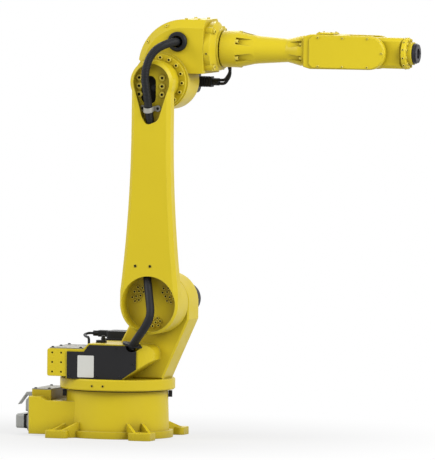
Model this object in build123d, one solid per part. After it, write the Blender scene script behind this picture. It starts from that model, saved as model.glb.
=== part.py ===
from build123d import *
import math
import os

# Six-axis industrial robot arm. Lengths are in millimetres and angles in degrees.
# The origin is on the floor under the turntable axis, +X is the way the arm reaches and +Z is up.

# Clearances, cuts and the share of a run that a bend may take
running_gap = 0.3
overrun = 5
bend_run_share = 0.45

# Heights up to the shoulder, and the axes of the arm at rest
base_height = 185
groove_height = 5
rim_height = 45
shoulder_rise = 305
shoulder_x = 201
arm_length = 875
roll_rise = 130
forearm_length = 845
face_reach = 183
rim_bottom = base_height + groove_height
rim_top = rim_bottom + rim_height
shoulder_z = rim_top + shoulder_rise
elbow_x = shoulder_x
elbow_z = shoulder_z + arm_length
roll_z = elbow_z + roll_rise
wrist_x = elbow_x + forearm_length
face_x = wrist_x + face_reach

# Pedestal with its flange and feet
base_top_radius = 200
base_bottom_radius = 206
base_flange_radius = 222
base_flange_height = 28
foot_reach_x = 219
foot_reach_y = 258
foot_width = 92
foot_height = 30
foot_corner = 18
anchor_x = 174
anchor_y = 216
anchor_radius = 11
gusset_reach = 286
gusset_height = 62
gusset_thickness = 12
gusset_spread = 31
gusset_root = base_top_radius - gusset_spread

# Connector box behind the pedestal
box_rear_x = -320
box_half_width = 160
box_bottom = 8
box_shelf_drop = 29
box_shelf_step = 15
box_shelf_break_x = -273
box_shelf_low_x = -244
box_corner = 12
box_head_front_x = -241
box_head_half_width = 110
box_lid_thickness = 4
box_shelf_high = base_height - box_shelf_drop
box_shelf_low = box_shelf_high - box_shelf_step
box_head_top = base_height - box_lid_thickness
connector_plate_thickness = 4
connector_plate_half_width = 148
connector_plate_bottom = 18
connector_plate_border = 4
connector_spacing = 7
connector_plate_top = box_shelf_high - connector_plate_border
connector_near_y = -102
connector_width = 120
connector_base_depth = 26
connector_cap_depth = 34
connector_gasket_depth = 6
connector_corner = 8
connector_inset = 4
connector_height = (connector_plate_top - connector_plate_bottom - 3 * connector_spacing) / 2
lower_connector_bottom = connector_plate_bottom + connector_spacing
upper_connector_bottom = lower_connector_bottom + connector_height + connector_spacing
lever_thickness = 5
lever_reach = 36
lever_rise = 22
lever_width = 18

# Stops beside the turntable groove
stop_angle = 18
stop_depth = 16
stop_width = 26
stop_height = 25
stop_drop = 2
stop_top = base_height - stop_drop
stop_bottom = stop_top - stop_height
base_taper = (base_bottom_radius - base_top_radius) / (base_height - base_flange_height)
stop_seat_radius = base_top_radius + base_taper * (base_height - stop_bottom)

# Turntable
slewing_radius = 192
hub_radius = 120
hub_depth = 55
hub_floor_gap = 6
rim_radius = 228
rim_edge = 4

# Upright post that carries the shoulder
post_near_y = -80
post_far_y = 50
post_radius = 117
post_knee_drop = 66
post_toe_x = 212
post_heel_x = -34
post_rear_x = 95
post_rear_drop = 46
post_edge = 6

# Cable box on the turntable
arm_hub_radius = 120
box_arm_clearance = 45
cable_box_rear_x = -150
cable_box_front_x = 202
cable_box_near_y = -200
cable_box_far_y = 40
cable_box_step = 23
cable_box_step_x = -80
cable_box_slope_x = -58
cable_box_chin_x = 84
cable_box_chin_rise = 80
cable_box_round = 58
cable_box_brow = 34
cable_box_high_top = shoulder_z - arm_hub_radius - box_arm_clearance
cable_box_low_top = cable_box_high_top - cable_box_step
cover_thickness = 5
cover_border = 5
cover_step_drop = 10
cover_front_x = 142
junction_rear_x = -228
junction_gap = 8
junction_bottom = rim_top + junction_gap
junction_far_y = 35
junction_round = 8
junction_hole_radius = 4
junction_hole_depth = 20
junction_hole_margin = 16.5
junction_hole_pitch_x = 37
junction_hole_pitch_z = (cable_box_low_top - junction_bottom) / 2 - junction_hole_margin
lid_thickness = 4
lid_front_x = -84
lid_border = 5

# Turntable motor with its plug and lead
motor_x = -22
motor_y = 118
motor_flange_width = 130
motor_flange_height = 16
motor_body_width = 116
motor_cap_width = 104
motor_cap_height = 30
motor_proud = 35
motor_corner = 14
motor_top = cable_box_high_top + motor_proud
motor_body_top = motor_top - motor_cap_height
plug_width = 36
plug_height = 26
plug_length = 44
plug_collar_radius = 11
plug_collar_length = 24
plug_corner = 5
plug_drop = 13
lead_radius = 5

# Shoulder drive
shoulder_reducer_radius = 108
shoulder_gap = 18
shoulder_shaft_radius = 60
shoulder_shaft_length = 30
shoulder_motor_radius = 60
shoulder_motor_flange_radius = 78
shoulder_motor_flange_depth = 14
shoulder_motor_body_end = 196
shoulder_motor_cap_radius = 54
shoulder_motor_end = 232

# Lower arm
arm_near_y = -240
arm_plate_depth = 56
arm_shoulder_rise = 47
arm_waist_half = 81
arm_neck_rise = 700
arm_head_radius = 88
arm_edge = 14
arm_recess_radius = 110
arm_recess_depth = 70
arm_back_y = post_near_y - shoulder_gap
arm_plate_back_y = arm_near_y + arm_plate_depth
arm_head_boss_radius = 82
pocket_radius = 73
pocket_offset = 3
pocket_tip_radius = 38
pocket_tip_drop = 123
pocket_tip_offset = 1
pocket_depth = 28
slot_width = 67
slot_height = 110
slot_corner = 24
slot_offset_x = -20
slot_offset_z = -30
slot_depth = 22

# Hoses along the arm, the clamp on the upper one and the ring it runs into
hose_radius = 16.5
hose_room = 3
gland_wall = 11
gland_length = 16
lower_hose_from_box = [(-122, 70, -44), (-24, -64, 43)]
lower_hose_from_shoulder = [(15, -27, -22), (-19, 37, 112)]
upper_hose_from_elbow = [(-7, 10, -179), (-17, 0, -55), (-19, -26, 35), (8, -16, 122)]
upper_hose_from_grommet = [(-13, -73, 0), (-2, 13, 0)]
clamp_drop = 103
clamp_height = 20
clamp_wall = 5
clamp_reach = 36
clamp_shift = 6
clamp_ear_radius = 14
grommet_radius = 39
grommet_depth = 14
grommet_bore = 24
grommet_reach = 67
grommet_rise = 28
grommet_edge = 5
grommet_hole_depth = 60
clamp_z = elbow_z - clamp_drop
grommet_x = elbow_x + grommet_reach

# Elbow casing and its reducer ring
casing_half_width = 105
casing_top_rise = 115
casing_rear_low_x = -104
casing_rear_low_z = 82
casing_rear_top_x = 82
casing_chamfer = 32
casing_front_reach = 172
casing_front_drop = 97
casing_belly_x = 102
casing_front_x = elbow_x + casing_front_reach
elbow_housing_radius = 114
elbow_housing_near_y = -112
elbow_housing_far_y = 30
elbow_motor_boss_radius = 86
elbow_ring_radius = 109
elbow_ring_depth = 18
elbow_shaft_radius = 50
elbow_shaft_length = 28

# Nose that carries the roll bearing
nose_radius = 106
nose_step_length = 25
nose_taper_length = 17
nose_end_length = 8
nose_end_radius = 79
nose_flat_drop = 86
nose_step_x = casing_front_x + nose_step_length
nose_taper_x = nose_step_x + nose_taper_length
nose_end_x = nose_taper_x + nose_end_length
nose_lug_radius = 17
nose_lug_circle = 99
nose_lug_depth = 30
roll_shaft_radius = 58
roll_shaft_length = 40
roll_groove = 5

# Elbow motor with its plug and leads
elbow_motor_width = 112
elbow_motor_flange_width = 126
elbow_motor_flange_depth = 14
elbow_motor_body_end = 224
elbow_motor_cap_width = 100
elbow_motor_end = 250
elbow_plug_y = 150
elbow_plug_drop = 8
elbow_plug_width = 40
elbow_plug_height = 42
elbow_plug_length = 74
elbow_plug_groove = 6
elbow_plug_groove_depth = 3
elbow_plug_groove_shares = (0.5, 0.64, 0.78)
elbow_collar_radius = 15
elbow_collar_length = 28
elbow_lead_radius = 6
elbow_lead_spread = 7
elbow_gland_width = 36
elbow_gland_height = 38
elbow_gland_depth = 14
elbow_gland_setback = 27
elbow_gland_drop = 22
elbow_gland_x = casing_front_x - elbow_gland_setback

# Forearm
forearm_flange_radius = 72
forearm_flange_length = 64
forearm_cone_share = 0.38
forearm_cone_radius = 55
forearm_waist_radius = 46
forearm_flare_length = 54
forearm_flare_radius = 60
forearm_collar_length = 27
housing_length = 271
pocket_count = 6
bolt_pocket_width = 30
bolt_pocket_radius = 56
front_pocket_reach = 14
front_pocket_radius = 48
front_pocket_width = 24
housing_rear_x = wrist_x - housing_length
forearm_start_x = nose_end_x + roll_groove
forearm_flange_x = forearm_start_x + forearm_flange_length
forearm_flare_x = housing_rear_x - forearm_collar_length
forearm_waist_x = forearm_flare_x - forearm_flare_length
forearm_cone_x = forearm_flange_x + forearm_cone_share * (forearm_waist_x - forearm_flange_x)

# Wrist housing with its fork
housing_half_height = 68
housing_half_width = 70
housing_shoulder_length = 28
housing_edge = 4
fork_radius = 66
fork_half_gap = 44
fork_depth = 112
fork_bore_radius = 30
side_cover_radius = 62
side_cover_inset = 26
side_cover_corner = 14
side_cover_thickness = 6
top_cover_rear = 45
top_cover_length = 70
top_cover_half_width = 40
top_cover_thickness = 7
top_cover_edge = 4

# Wrist block and tool flange
wrist_half_width = 38
wrist_half_height = 60
wrist_corner = 12
wrist_pin_length = 24
wrist_ring_rear = 54
wrist_ring_radius = 62
wrist_ring_depth = 19
wrist_ring_edge = 4
wrist_neck_radius = 45
wrist_neck_depth = 18
tool_gap = 1
tool_rim_radius = 40
tool_face_radius = 37
tool_rim_depth = 9
tool_shaft_radius = 28
tool_shaft_length = 26
tool_pilot_radius = 20
tool_pilot_depth = 6
tool_bolt_circle = 63
tool_bolt_count = 4
tool_bolt_radius = 3
tool_bolt_depth = 12
wrist_ring_x = face_x - wrist_ring_rear
wrist_ring_end_x = wrist_ring_x + wrist_ring_depth
wrist_neck_end_x = wrist_ring_end_x + wrist_neck_depth
tool_rear_x = wrist_neck_end_x + tool_gap


def across(outline, y_low, y_high):
    """Solid with an outline in X and Z, from one y to another."""
    return extrude(Plane.XZ.offset(-y_high) * outline, amount=y_high - y_low)


def along(outline, x_low, x_high):
    """Solid with an outline in Y and Z, from one x to another."""
    return extrude(Plane.YZ.offset(x_low) * outline, amount=x_high - x_low)


def upright(outline, z_low, z_high):
    """Solid with an outline in X and Y, from one height to another."""
    return extrude(Pos(0, 0, z_low) * outline, amount=z_high - z_low)


def rectangle_between(low_a, high_a, low_b, high_b):
    """Flat rectangle between two corners."""
    centre = Pos((low_a + high_a) / 2, (low_b + high_b) / 2)
    return centre * Rectangle(high_a - low_a, high_b - low_b)


def polygon(*points):
    """Flat face through the points."""
    return make_face(Polyline(*points, close=True))


def turned_about_roll_axis(*points):
    """Solid turned about the forearm's roll axis from (x, radius) points."""
    profile = polygon(*points)
    return Pos(0, 0, roll_z) * revolve(Plane.XZ * profile, Axis.X)


def near_edges(solid):
    """Edges of the flat face nearest to the robot's right side."""
    return solid.faces().sort_by(Axis.Y)[0].edges()


def far_edges(solid):
    """Edges of the flat face nearest to the robot's left side."""
    return solid.faces().sort_by(Axis.Y)[-1].edges()


def bend_radii(route):
    """Largest even bend radius at each inner point of a route."""
    points = [Vector(*point) for point in route]
    radii = []
    for before, here, after in zip(points, points[1:], points[2:]):
        run_in = here - before
        run_out = after - here
        half_turn = math.radians(run_in.get_angle(run_out)) / 2
        shorter_run = min(run_in.length, run_out.length)
        radii.append(bend_run_share * shorter_run / math.tan(half_turn))
    return radii


def hose(route, radius):
    """Round hose along straight runs and arcs."""
    path = FilletPolyline(*route, radius=bend_radii(route))
    section = Plane(origin=path @ 0, z_dir=path % 0) * Circle(radius)
    return sweep(section, path=path)


def passage(start, end, radius):
    """Round hole from one point towards another."""
    run = Vector(*end) - Vector(*start)
    mouth = Plane(origin=start, z_dir=run)
    return extrude(mouth * Circle(radius), amount=run.length)


def shifted(points, origin):
    """Points of a route moved to an origin."""
    return [tuple(step + place for step, place in zip(point, origin)) for point in points]


lower_hose_route = shifted(lower_hose_from_box, (cable_box_front_x, cable_box_near_y, cable_box_high_top))
lower_hose_route += shifted(lower_hose_from_shoulder, (shoulder_x, arm_near_y, shoulder_z))
upper_hose_route = shifted(upper_hose_from_elbow, (elbow_x, arm_near_y, elbow_z))
upper_hose_route += shifted(upper_hose_from_grommet, (grommet_x, -casing_half_width, roll_z + grommet_rise))


# Base

def foot(x_side, y_side):
    """Corner pad with two sloping ribs and an anchor hole."""
    middle_x = foot_reach_x - foot_width / 2
    middle_y = foot_reach_y - foot_width / 2
    pad = Pos(x_side * middle_x, y_side * middle_y) * RectangleRounded(foot_width, foot_width, foot_corner)
    solid = extrude(pad, amount=foot_height)
    rib_outline = polygon(
        (gusset_root, 0),
        (gusset_reach, 0),
        (gusset_reach, foot_height),
        (base_bottom_radius, gusset_height),
        (gusset_root, gusset_height),
    )
    heading = math.degrees(math.atan2(y_side * anchor_y, x_side * anchor_x))
    web_half = gusset_spread + gusset_thickness / 2
    web = rectangle_between(gusset_root, gusset_reach, -web_half, web_half)
    solid += Rot(0, 0, heading) * extrude(web, amount=foot_height)
    for rib_side in (-1, 1):
        middle = rib_side * gusset_spread
        rib = across(rib_outline, middle - gusset_thickness / 2, middle + gusset_thickness / 2)
        solid += Rot(0, 0, heading) * rib
    hole = upright(Circle(anchor_radius), -overrun, gusset_height)
    return solid - Pos(x_side * anchor_x, y_side * anchor_y, 0) * hole


def connector_box():
    """Box behind the pedestal with a sloping shelf and a raised head."""
    side = polygon(
        (box_rear_x, box_bottom),
        (box_rear_x, box_shelf_high),
        (box_shelf_break_x, box_shelf_high),
        (box_shelf_low_x, box_shelf_low),
        (0, box_shelf_low),
        (0, box_bottom),
    )
    body = across(side, -box_half_width, box_half_width)
    rear_corners = body.edges().filter_by(Axis.Z).group_by(Axis.X)[0]
    body = fillet(rear_corners, box_corner)
    head = rectangle_between(box_rear_x, box_head_front_x, box_shelf_low, box_head_top)
    return body + across(head, -box_head_half_width, box_head_half_width)


def base_pedestal():
    """Round cast pedestal with flange, feet, connector box and hub bore."""
    profile = polygon(
        (0, 0),
        (base_flange_radius, 0),
        (base_flange_radius, base_flange_height),
        (base_bottom_radius, base_flange_height),
        (base_top_radius, base_height),
        (0, base_height),
    )
    body = revolve(Plane.XZ * profile, Axis.Z)
    body += connector_box()
    for x_side in (-1, 1):
        for y_side in (-1, 1):
            body += foot(x_side, y_side)
    bore_floor = rim_bottom - hub_depth - hub_floor_gap
    return body - upright(Circle(hub_radius + running_gap), bore_floor, base_height + overrun)


def slewing_ring():
    """Bearing ring in the groove under the turntable."""
    ring = Circle(slewing_radius) - Circle(hub_radius + running_gap)
    return upright(ring, base_height, rim_bottom - running_gap)


def connector_box_lid():
    """Flat lid on the head of the connector box."""
    outline = rectangle_between(box_rear_x, box_head_front_x, -box_head_half_width, box_head_half_width)
    return upright(outline, box_head_top, box_head_top + box_lid_thickness)


def connector_plate():
    """Plate on the rear face that carries the two connectors."""
    outline = rectangle_between(
        -connector_plate_half_width,
        connector_plate_half_width,
        connector_plate_bottom,
        connector_plate_top,
    )
    return along(outline, box_rear_x - connector_plate_thickness, box_rear_x)


def connector_outline(bottom, inset):
    """Rounded face of a rectangular connector."""
    middle = Pos(connector_near_y + connector_width / 2, bottom + connector_height / 2)
    width = connector_width - 2 * inset
    height = connector_height - 2 * inset
    return middle * RectangleRounded(width, height, connector_corner)


def connector_socket(bottom):
    """Socket housing of one connector on the plate."""
    seat_x = box_rear_x - connector_plate_thickness
    flange_x = seat_x - connector_base_depth / 2
    body = along(connector_outline(bottom, 0), flange_x, seat_x)
    return body + along(connector_outline(bottom, connector_inset), seat_x - connector_base_depth, flange_x)


def connector_cap(bottom):
    """Cap that closes a connector, with its seal."""
    mouth_x = box_rear_x - connector_plate_thickness - connector_base_depth
    seal_x = mouth_x - connector_gasket_depth
    body = along(connector_outline(bottom, 2 * connector_inset), seal_x, mouth_x)
    shell = along(connector_outline(bottom, 0), seal_x - connector_cap_depth, seal_x)
    shell = chamfer(shell.faces().sort_by(Axis.X)[0].edges(), connector_inset)
    return body + shell


def connector_lever():
    """Locking lever that stands open over the upper connector."""
    seat_x = box_rear_x - connector_plate_thickness
    top = upper_connector_bottom + connector_height
    outline = polygon(
        (seat_x, top),
        (seat_x, top + lever_thickness),
        (seat_x - lever_reach / 2, top + lever_rise),
        (seat_x - lever_reach, top + lever_rise),
        (seat_x - 2 * lever_reach, top - connector_height / 2),
        (seat_x - 2 * lever_reach + lever_thickness, top - connector_height / 2),
        (seat_x - lever_reach, top + lever_rise - 2 * lever_thickness),
        (seat_x - lever_reach / 2, top),
    )
    near = connector_near_y + connector_width / 2 - lever_width
    return across(outline, near, near + 2 * lever_width)


def turntable_stop(angle):
    """Block that ends the turntable's travel."""
    stop_reach = stop_seat_radius + stop_depth
    outline = rectangle_between(stop_seat_radius, stop_reach, -stop_width / 2, stop_width / 2)
    return Rot(0, 0, angle) * upright(outline, stop_bottom, stop_top)


# Turntable

def hose_passage_low():
    """Hole through which the lower hose leaves the cable box."""
    return passage(lower_hose_route[0], lower_hose_route[1], hose_radius + gland_wall)


def cable_box():
    """Box on the turntable with a sloping chin and a rounded front."""
    side = polygon(
        (cable_box_rear_x, rim_top),
        (cable_box_rear_x, cable_box_low_top),
        (cable_box_step_x, cable_box_low_top),
        (cable_box_slope_x, cable_box_high_top),
        (cable_box_front_x, cable_box_high_top),
        (cable_box_front_x, rim_top + cable_box_chin_rise),
        (cable_box_chin_x, rim_top),
    )
    brow = side.vertices().sort_by(lambda corner: corner.X + corner.Y)[-1]
    side = fillet(brow, cable_box_brow)
    plan = rectangle_between(cable_box_rear_x, cable_box_front_x, cable_box_near_y, cable_box_far_y)
    near_front = plan.vertices().sort_by(lambda corner: corner.X - corner.Y)[-1]
    plan = fillet(near_front, cable_box_round)
    return across(side, cable_box_near_y, cable_box_far_y) & upright(plan, rim_top, cable_box_high_top)


def cover_outline():
    """Side outline of the cover, inside the edge of the cable box's flat side."""
    bottom = rim_top + running_gap
    step_top = cable_box_low_top - cover_step_drop
    top = cable_box_high_top - cover_border
    chin_x = cable_box_chin_x - cover_border
    chin_slope = cable_box_chin_rise / (cable_box_front_x - cable_box_chin_x)
    return polygon(
        (cable_box_rear_x + cover_border, bottom),
        (cable_box_rear_x + cover_border, step_top),
        (cable_box_step_x + cover_border, step_top),
        (cable_box_slope_x + cover_border, top),
        (cover_front_x, top),
        (cover_front_x, bottom + chin_slope * (cover_front_x - chin_x)),
        (chin_x, bottom),
    )


def post():
    """Upright post with a round shoulder end."""
    outline = polygon(
        (shoulder_x + post_radius, shoulder_z),
        (shoulder_x + post_radius, shoulder_z - post_knee_drop),
        (post_toe_x, rim_top),
        (post_heel_x, rim_top),
        (post_rear_x, shoulder_z - post_rear_drop),
        (shoulder_x, shoulder_z),
    )
    outline += Pos(shoulder_x, shoulder_z) * Circle(post_radius)
    solid = across(outline, post_near_y, post_far_y)
    return chamfer(near_edges(solid) + far_edges(solid), post_edge)


def turret_casting():
    """Turntable casting: rim, hub, cable box and post."""
    rim = upright(Circle(rim_radius), rim_bottom, rim_top)
    rim = chamfer(rim.edges().filter_by(GeomType.CIRCLE), rim_edge)
    hub = upright(Circle(hub_radius), rim_bottom - hub_depth, rim_bottom)
    return rim + hub + cable_box() + post() - hose_passage_low()


def cable_box_cover():
    """Flat cover on the near side of the cable box."""
    near_y = cable_box_near_y - cover_thickness
    return across(cover_outline(), near_y, cable_box_near_y) - hose_passage_low()


def junction_box():
    """Box at the rear of the cable box with tapped holes in its side."""
    outline = rectangle_between(junction_rear_x, cable_box_rear_x, junction_bottom, cable_box_low_top)
    body = across(outline, cable_box_near_y, junction_far_y)
    corners = body.edges().filter_by(Axis.Y).group_by(Axis.X)[0]
    body = fillet(corners, junction_round)
    middle_x = (junction_rear_x + cable_box_rear_x) / 2
    middle_z = (junction_bottom + cable_box_low_top) / 2
    for column in (-1, 1):
        for row in (-1, 0, 1):
            hole = Pos(middle_x + column * junction_hole_pitch_x / 2, middle_z + row * junction_hole_pitch_z)
            drill = hole * Circle(junction_hole_radius)
            body -= across(drill, cable_box_near_y, cable_box_near_y + junction_hole_depth)
    return body


def junction_box_lid():
    """Flat lid over the junction box and the low end of the cable box."""
    outline = rectangle_between(
        junction_rear_x + junction_round,
        lid_front_x,
        cable_box_near_y + lid_border,
        junction_far_y - lid_border,
    )
    return upright(outline, cable_box_low_top, cable_box_low_top + lid_thickness)


def turntable_motor():
    """Upright servo motor that turns the turntable."""
    flange_top = rim_top + motor_flange_height
    flange_plan = RectangleRounded(motor_flange_width, motor_flange_width, motor_corner)
    body_plan = RectangleRounded(motor_body_width, motor_body_width, motor_corner)
    cap_plan = RectangleRounded(motor_cap_width, motor_cap_width, motor_corner)
    body = upright(flange_plan, rim_top, flange_top)
    body += upright(body_plan, flange_top, motor_body_top)
    body += upright(cap_plan, motor_body_top, motor_top)
    return Pos(motor_x, motor_y, 0) * body


def turntable_plug():
    """Plug on the rear face of the turntable motor."""
    seat_x = motor_x - motor_cap_width / 2
    back_x = seat_x - plug_length
    middle = Pos(motor_y, motor_top - plug_drop)
    body = along(middle * RectangleRounded(plug_width, plug_height, plug_corner), back_x, seat_x)
    return body + along(middle * Circle(plug_collar_radius), back_x - plug_collar_length, back_x)


def turntable_lead_route():
    """Loop of lead from the plug down to the lid."""
    start_x = motor_x - motor_cap_width / 2 - plug_length - plug_collar_length
    start_z = motor_top - plug_drop
    lid_top = cable_box_low_top + lid_thickness
    return [
        (start_x, motor_y, start_z),
        (start_x - 4 * lead_radius, motor_y, start_z),
        (start_x - 6 * lead_radius, motor_y - 6 * lead_radius, start_z - lead_radius),
        (start_x - 2 * lead_radius, junction_far_y + 3 * lead_radius, start_z - 2 * lead_radius),
        (start_x + 3 * lead_radius, junction_far_y - 4 * lead_radius, lid_top + 6 * lead_radius),
        (start_x + 3 * lead_radius, junction_far_y - 4 * lead_radius, lid_top),
    ]


def shoulder_reducer():
    """Reducer ring and output shaft between the post and the lower arm."""
    centre = Pos(shoulder_x, shoulder_z)
    ring = across(centre * Circle(shoulder_reducer_radius), arm_back_y + running_gap, post_near_y)
    shaft_end = arm_back_y - shoulder_shaft_length
    return ring + across(centre * Circle(shoulder_shaft_radius), shaft_end, post_near_y)


def shoulder_motor():
    """Servo motor on the far side of the shoulder."""
    centre = Pos(shoulder_x, shoulder_z)
    flange_end = post_far_y + shoulder_motor_flange_depth
    body = across(centre * Circle(shoulder_motor_flange_radius), post_far_y, flange_end)
    body += across(centre * Circle(shoulder_motor_radius), flange_end, shoulder_motor_body_end)
    cap = centre * Circle(shoulder_motor_cap_radius)
    return body + across(cap, shoulder_motor_body_end, shoulder_motor_end)


def hose_gland():
    """Gland that holds the lower hose where it leaves the cable box."""
    start = Vector(*lower_hose_route[0])
    run = Vector(*lower_hose_route[1]) - start
    top_share = (cable_box_high_top - start.Z) / run.Z
    seat = start + run * top_share - run.normalized() * gland_length / 2
    ring = Circle(hose_radius + gland_wall - running_gap) - Circle(hose_radius + running_gap)
    return extrude(Plane(origin=seat, z_dir=run) * ring, amount=gland_length)


# Lower arm

def arm_outline():
    """Waisted side outline of the arm, with the shoulder axis at its origin."""
    middle_half = arm_waist_half + (arm_hub_radius - arm_waist_half) / 4
    middle_rise = (arm_shoulder_rise + arm_neck_rise) / 2
    lines = [Line((-arm_hub_radius, 0), (arm_hub_radius, 0))]
    lines.append(Line((-arm_waist_half, arm_length), (arm_waist_half, arm_length)))
    for side in (-1, 1):
        hip = (side * arm_hub_radius, arm_shoulder_rise)
        waist = (side * middle_half, middle_rise)
        neck = (side * arm_waist_half, arm_neck_rise)
        lines.append(Line((side * arm_hub_radius, 0), hip))
        lines.append(ThreePointArc(hip, waist, neck))
        lines.append(Line(neck, (side * arm_waist_half, arm_length)))
    outline = make_face(lines) + Circle(arm_hub_radius)
    return outline + Pos(0, arm_length) * Circle(arm_head_radius)


def teardrop_outline():
    """Outline of the pocket at the elbow end."""
    wide = Pos(pocket_offset, arm_length) * Circle(pocket_radius)
    tip = Pos(pocket_tip_offset, arm_length - pocket_tip_drop) * Circle(pocket_tip_radius)
    return make_hull(wide.edges() + tip.edges())


def lower_arm():
    """Arm casting with an open shoulder recess and a teardrop pocket at the elbow."""
    plate = across(arm_outline(), arm_near_y, arm_plate_back_y)
    plate = chamfer(near_edges(plate), arm_edge)
    body = plate + across(Circle(arm_hub_radius), arm_near_y + arm_edge, arm_back_y)
    head_back = elbow_housing_near_y - elbow_ring_depth - running_gap
    head = Pos(0, arm_length)
    body += across(head * Circle(arm_head_boss_radius), arm_plate_back_y, head_back)
    body -= across(Circle(arm_recess_radius), arm_near_y, arm_near_y + arm_recess_depth)
    bore_end = arm_back_y - shoulder_shaft_length - running_gap
    body -= across(Circle(shoulder_shaft_radius + running_gap), bore_end, arm_back_y)
    pocket_floor = arm_near_y + pocket_depth
    body -= across(teardrop_outline(), arm_near_y, pocket_floor)
    slot_centre = Pos(slot_offset_x, arm_length + slot_offset_z)
    slot = slot_centre * RectangleRounded(slot_width, slot_height, slot_corner)
    body -= across(slot, pocket_floor, pocket_floor + slot_depth)
    shaft_floor = head_back - elbow_shaft_length - running_gap
    body -= across(head * Circle(elbow_shaft_radius + running_gap), shaft_floor, head_back)
    body = Pos(shoulder_x, 0, shoulder_z) * body
    body -= passage(lower_hose_route[-2], lower_hose_route[-1], hose_radius + hose_room)
    return body - passage(upper_hose_route[1], upper_hose_route[0], hose_radius + hose_room)


def hose_clamp():
    """Saddle with two round ears that holds the upper hose to the pocket floor."""
    start = Vector(*upper_hose_route[0])
    run = Vector(*upper_hose_route[1]) - start
    centre = start + run * ((clamp_z - start.Z) / run.Z)
    floor_y = arm_near_y + pocket_depth
    outer = hose_radius + running_gap + clamp_wall
    strap = Pos(centre.X, centre.Y) * Circle(outer)
    strap += rectangle_between(centre.X - outer, centre.X + outer, centre.Y, floor_y)
    strap &= rectangle_between(centre.X - outer, centre.X + outer, centre.Y - outer, floor_y)
    body = upright(strap, clamp_z - clamp_height / 2, clamp_z + clamp_height / 2)
    ear_reach = clamp_reach - clamp_ear_radius
    ear_middle = centre.X + clamp_shift
    ear = Circle(clamp_ear_radius)
    ears = [Pos(ear_middle + side * ear_reach, clamp_z) * ear for side in (-1, 1)]
    plate = make_hull(ears[0].edges() + ears[1].edges())
    body += across(plate, floor_y - clamp_wall, floor_y)
    return body - passage(upper_hose_route[0], upper_hose_route[1], hose_radius + running_gap)


# Elbow

def casing_outline():
    """Side outline of the elbow casing, left tall and long where the envelope trims it."""
    bottom = roll_z - casing_front_drop
    high_z = roll_z + 2 * casing_top_rise
    far_low = (elbow_x + 2 * casing_rear_low_x, elbow_z + 2 * casing_rear_low_z)
    return polygon(
        (elbow_x, elbow_z),
        far_low,
        (far_low[0], high_z),
        (casing_front_x, high_z),
        (casing_front_x, bottom),
        (elbow_x + casing_belly_x, bottom),
    )


def casing_envelope():
    """Barrel over the rear and a flat-topped block in front of it, both with chamfered rims."""
    top = roll_z + casing_top_rise
    rear_run = casing_rear_top_x - casing_rear_low_x
    rear_drop = top - elbow_z - casing_rear_low_z
    radius = (rear_run ** 2 + rear_drop ** 2) / (2 * rear_drop)
    middle_x = elbow_x + casing_rear_top_x
    flat = casing_half_width - casing_chamfer
    half_profile = polygon(
        (0, -casing_half_width),
        (radius - casing_chamfer, -casing_half_width),
        (radius, -flat),
        (radius, flat),
        (radius - casing_chamfer, casing_half_width),
        (0, casing_half_width),
    )
    barrel = Pos(middle_x, 0, top - radius) * revolve(half_profile, Axis.Y)
    block_face = polygon(
        (-casing_half_width, top - radius),
        (-casing_half_width, top - casing_chamfer),
        (-flat, top),
        (flat, top),
        (casing_half_width, top - casing_chamfer),
        (casing_half_width, top - radius),
    )
    return barrel + along(block_face, middle_x, casing_front_x + overrun)


def elbow_casing():
    """Casing over the elbow with a round bearing housing and a hole for the hose."""
    body = across(casing_outline(), -2 * casing_half_width, 2 * casing_half_width)
    body &= casing_envelope()
    centre = Pos(elbow_x, elbow_z)
    body += across(centre * Circle(elbow_housing_radius), elbow_housing_near_y, elbow_housing_far_y)
    body += across(centre * Circle(elbow_motor_boss_radius), elbow_housing_far_y, casing_half_width)
    hole = Pos(grommet_x, roll_z + grommet_rise) * Circle(grommet_bore)
    return body - across(hole, -casing_half_width - overrun, grommet_hole_depth - casing_half_width)


def elbow_ring():
    """Reducer ring and shaft between the elbow housing and the lower arm."""
    centre = Pos(elbow_x, elbow_z)
    ring_near_y = elbow_housing_near_y - elbow_ring_depth
    ring = across(centre * Circle(elbow_ring_radius), ring_near_y, elbow_housing_near_y)
    return ring + across(centre * Circle(elbow_shaft_radius), ring_near_y - elbow_shaft_length, ring_near_y)


def elbow_nose():
    """Round nose with bolt lugs that carries the roll bearing."""
    body = turned_about_roll_axis(
        (casing_front_x, 0),
        (casing_front_x, nose_radius),
        (nose_step_x, nose_radius),
        (nose_taper_x, nose_end_radius),
        (nose_end_x, nose_end_radius),
        (nose_end_x, 0),
    )
    for quarter in range(4):
        angle = math.radians(45 + 90 * quarter)
        middle = Pos(nose_lug_circle * math.cos(angle), roll_z + nose_lug_circle * math.sin(angle))
        body += along(middle * Circle(nose_lug_radius), casing_front_x, casing_front_x + nose_lug_depth)
    flat_z = roll_z - nose_flat_drop
    underside = rectangle_between(-2 * nose_radius, 2 * nose_radius, flat_z - nose_radius, flat_z)
    body -= along(underside, casing_front_x, nose_end_x)
    bore = Pos(0, roll_z) * Circle(roll_shaft_radius + running_gap)
    bore_floor = nose_end_x - roll_shaft_length - running_gap
    return body - along(bore, bore_floor, nose_end_x + overrun)


def hose_grommet():
    """Ring round the hole where the upper hose enters the casing."""
    centre = Pos(grommet_x, roll_z + grommet_rise)
    near_y = -casing_half_width - grommet_depth
    body = across(centre * Circle(grommet_radius), near_y, -casing_half_width)
    body = chamfer(near_edges(body), grommet_edge)
    return body - across(centre * Circle(grommet_bore), near_y - overrun, -casing_half_width + overrun)


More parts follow.
